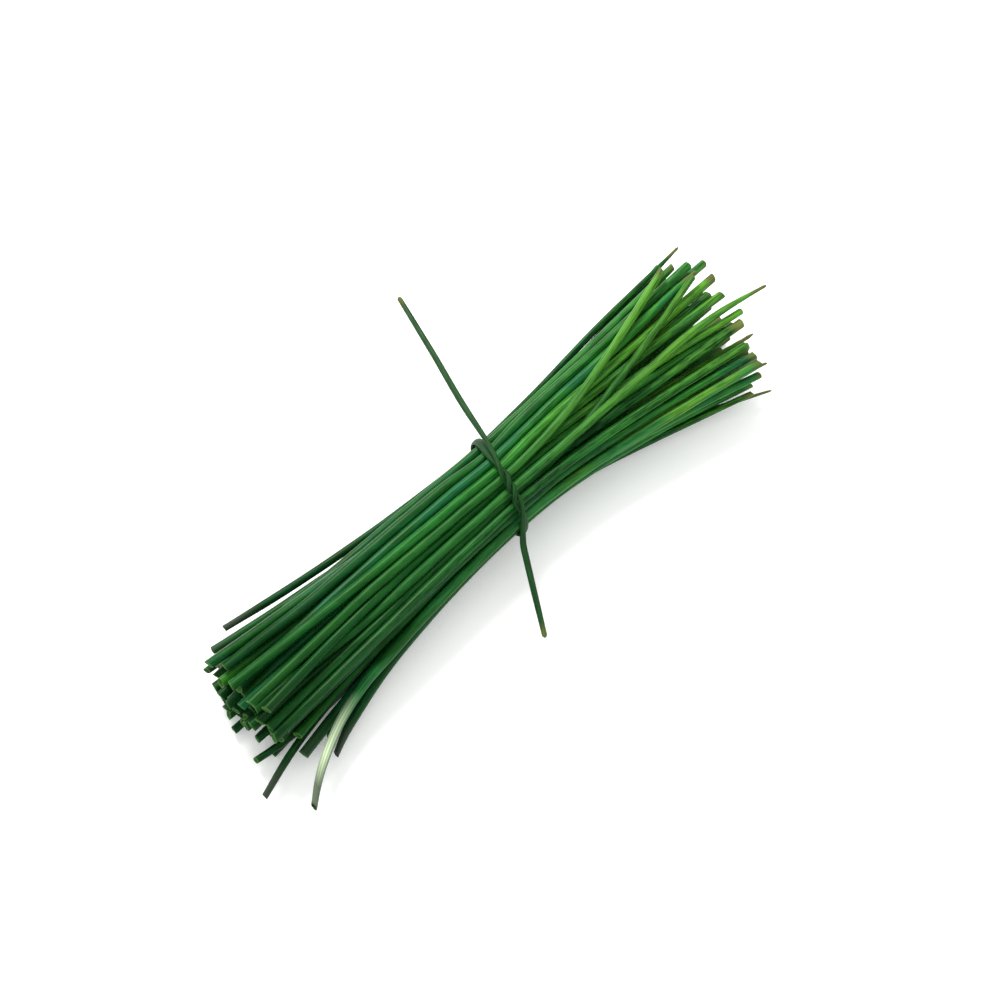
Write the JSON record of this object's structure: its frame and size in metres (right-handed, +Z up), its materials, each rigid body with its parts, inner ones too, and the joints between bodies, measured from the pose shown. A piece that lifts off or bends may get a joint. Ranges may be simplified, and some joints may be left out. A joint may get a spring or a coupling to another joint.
{
  "type": "chive bunch",
  "caption": "Bunch of cut chives lying flat, drawn in at the middle by a chive leaf tied round it with a half knot, its cut ends and tips fanning out.",
  "frame": {"origin": "on the surface that the bunch lies on, at the flat spot of the tie's underside, right under the waist of the bunch", "axes": "+X along the bunch from the cut butts to the tips, +Z up from the surface, +Y across the bunch towards the tie's longer free end"},
  "size_m": [0.1797, 0.0908, 0.0262],
  "materials": {
    "deep_leaf": "fresh deep green leaf, waxy satin",
    "leaf": "fresh green leaf, waxy satin",
    "bright_leaf": "fresh yellow-green leaf, waxy satin",
    "tie_leaf": "wilted dark green leaf, satin"
  },
  "bodies": {
    "root": {"leaf_01": "deep_leaf", "leaf_02": "deep_leaf", "leaf_03": "deep_leaf", "leaf_04": "leaf", "leaf_05": "leaf", "leaf_06": "deep_leaf", "leaf_07": "leaf", "leaf_08": "deep_leaf", "leaf_09": "leaf", "leaf_10": "bright_leaf", "leaf_11": "leaf", "leaf_12": "leaf", "leaf_13": "deep_leaf", "leaf_14": "leaf", "leaf_15": "leaf", "leaf_16": "leaf", "leaf_17": "deep_leaf", "leaf_18": "deep_leaf", "leaf_19": "leaf", "leaf_20": "leaf", "leaf_21": "leaf", "leaf_22": "deep_leaf", "leaf_23": "deep_leaf", "leaf_24": "leaf", "leaf_25": "bright_leaf", "leaf_26": "deep_leaf", "leaf_27": "deep_leaf", "leaf_28": "deep_leaf", "leaf_29": "leaf", "leaf_30": "leaf", "leaf_31": "bright_leaf", "leaf_32": "leaf", "leaf_33": "leaf", "leaf_34": "leaf", "leaf_35": "leaf", "leaf_36": "bright_leaf", "leaf_37": "leaf", "leaf_38": "leaf", "leaf_39": "deep_leaf", "leaf_40": "deep_leaf", "leaf_41": "bright_leaf", "leaf_42": "deep_leaf", "leaf_43": "deep_leaf", "leaf_44": "deep_leaf", "leaf_45": "deep_leaf", "leaf_46": "deep_leaf", "leaf_47": "deep_leaf", "leaf_48": "deep_leaf", "leaf_49": "bright_leaf", "leaf_50": "deep_leaf", "leaf_51": "deep_leaf", "leaf_52": "bright_leaf", "leaf_53": "deep_leaf", "leaf_54": "leaf", "leaf_55": "leaf", "leaf_56": "deep_leaf", "leaf_57": "leaf", "leaf_58": "deep_leaf", "leaf_59": "deep_leaf", "tie_leaf": "tie_leaf"}
  },
  "joints": []
}
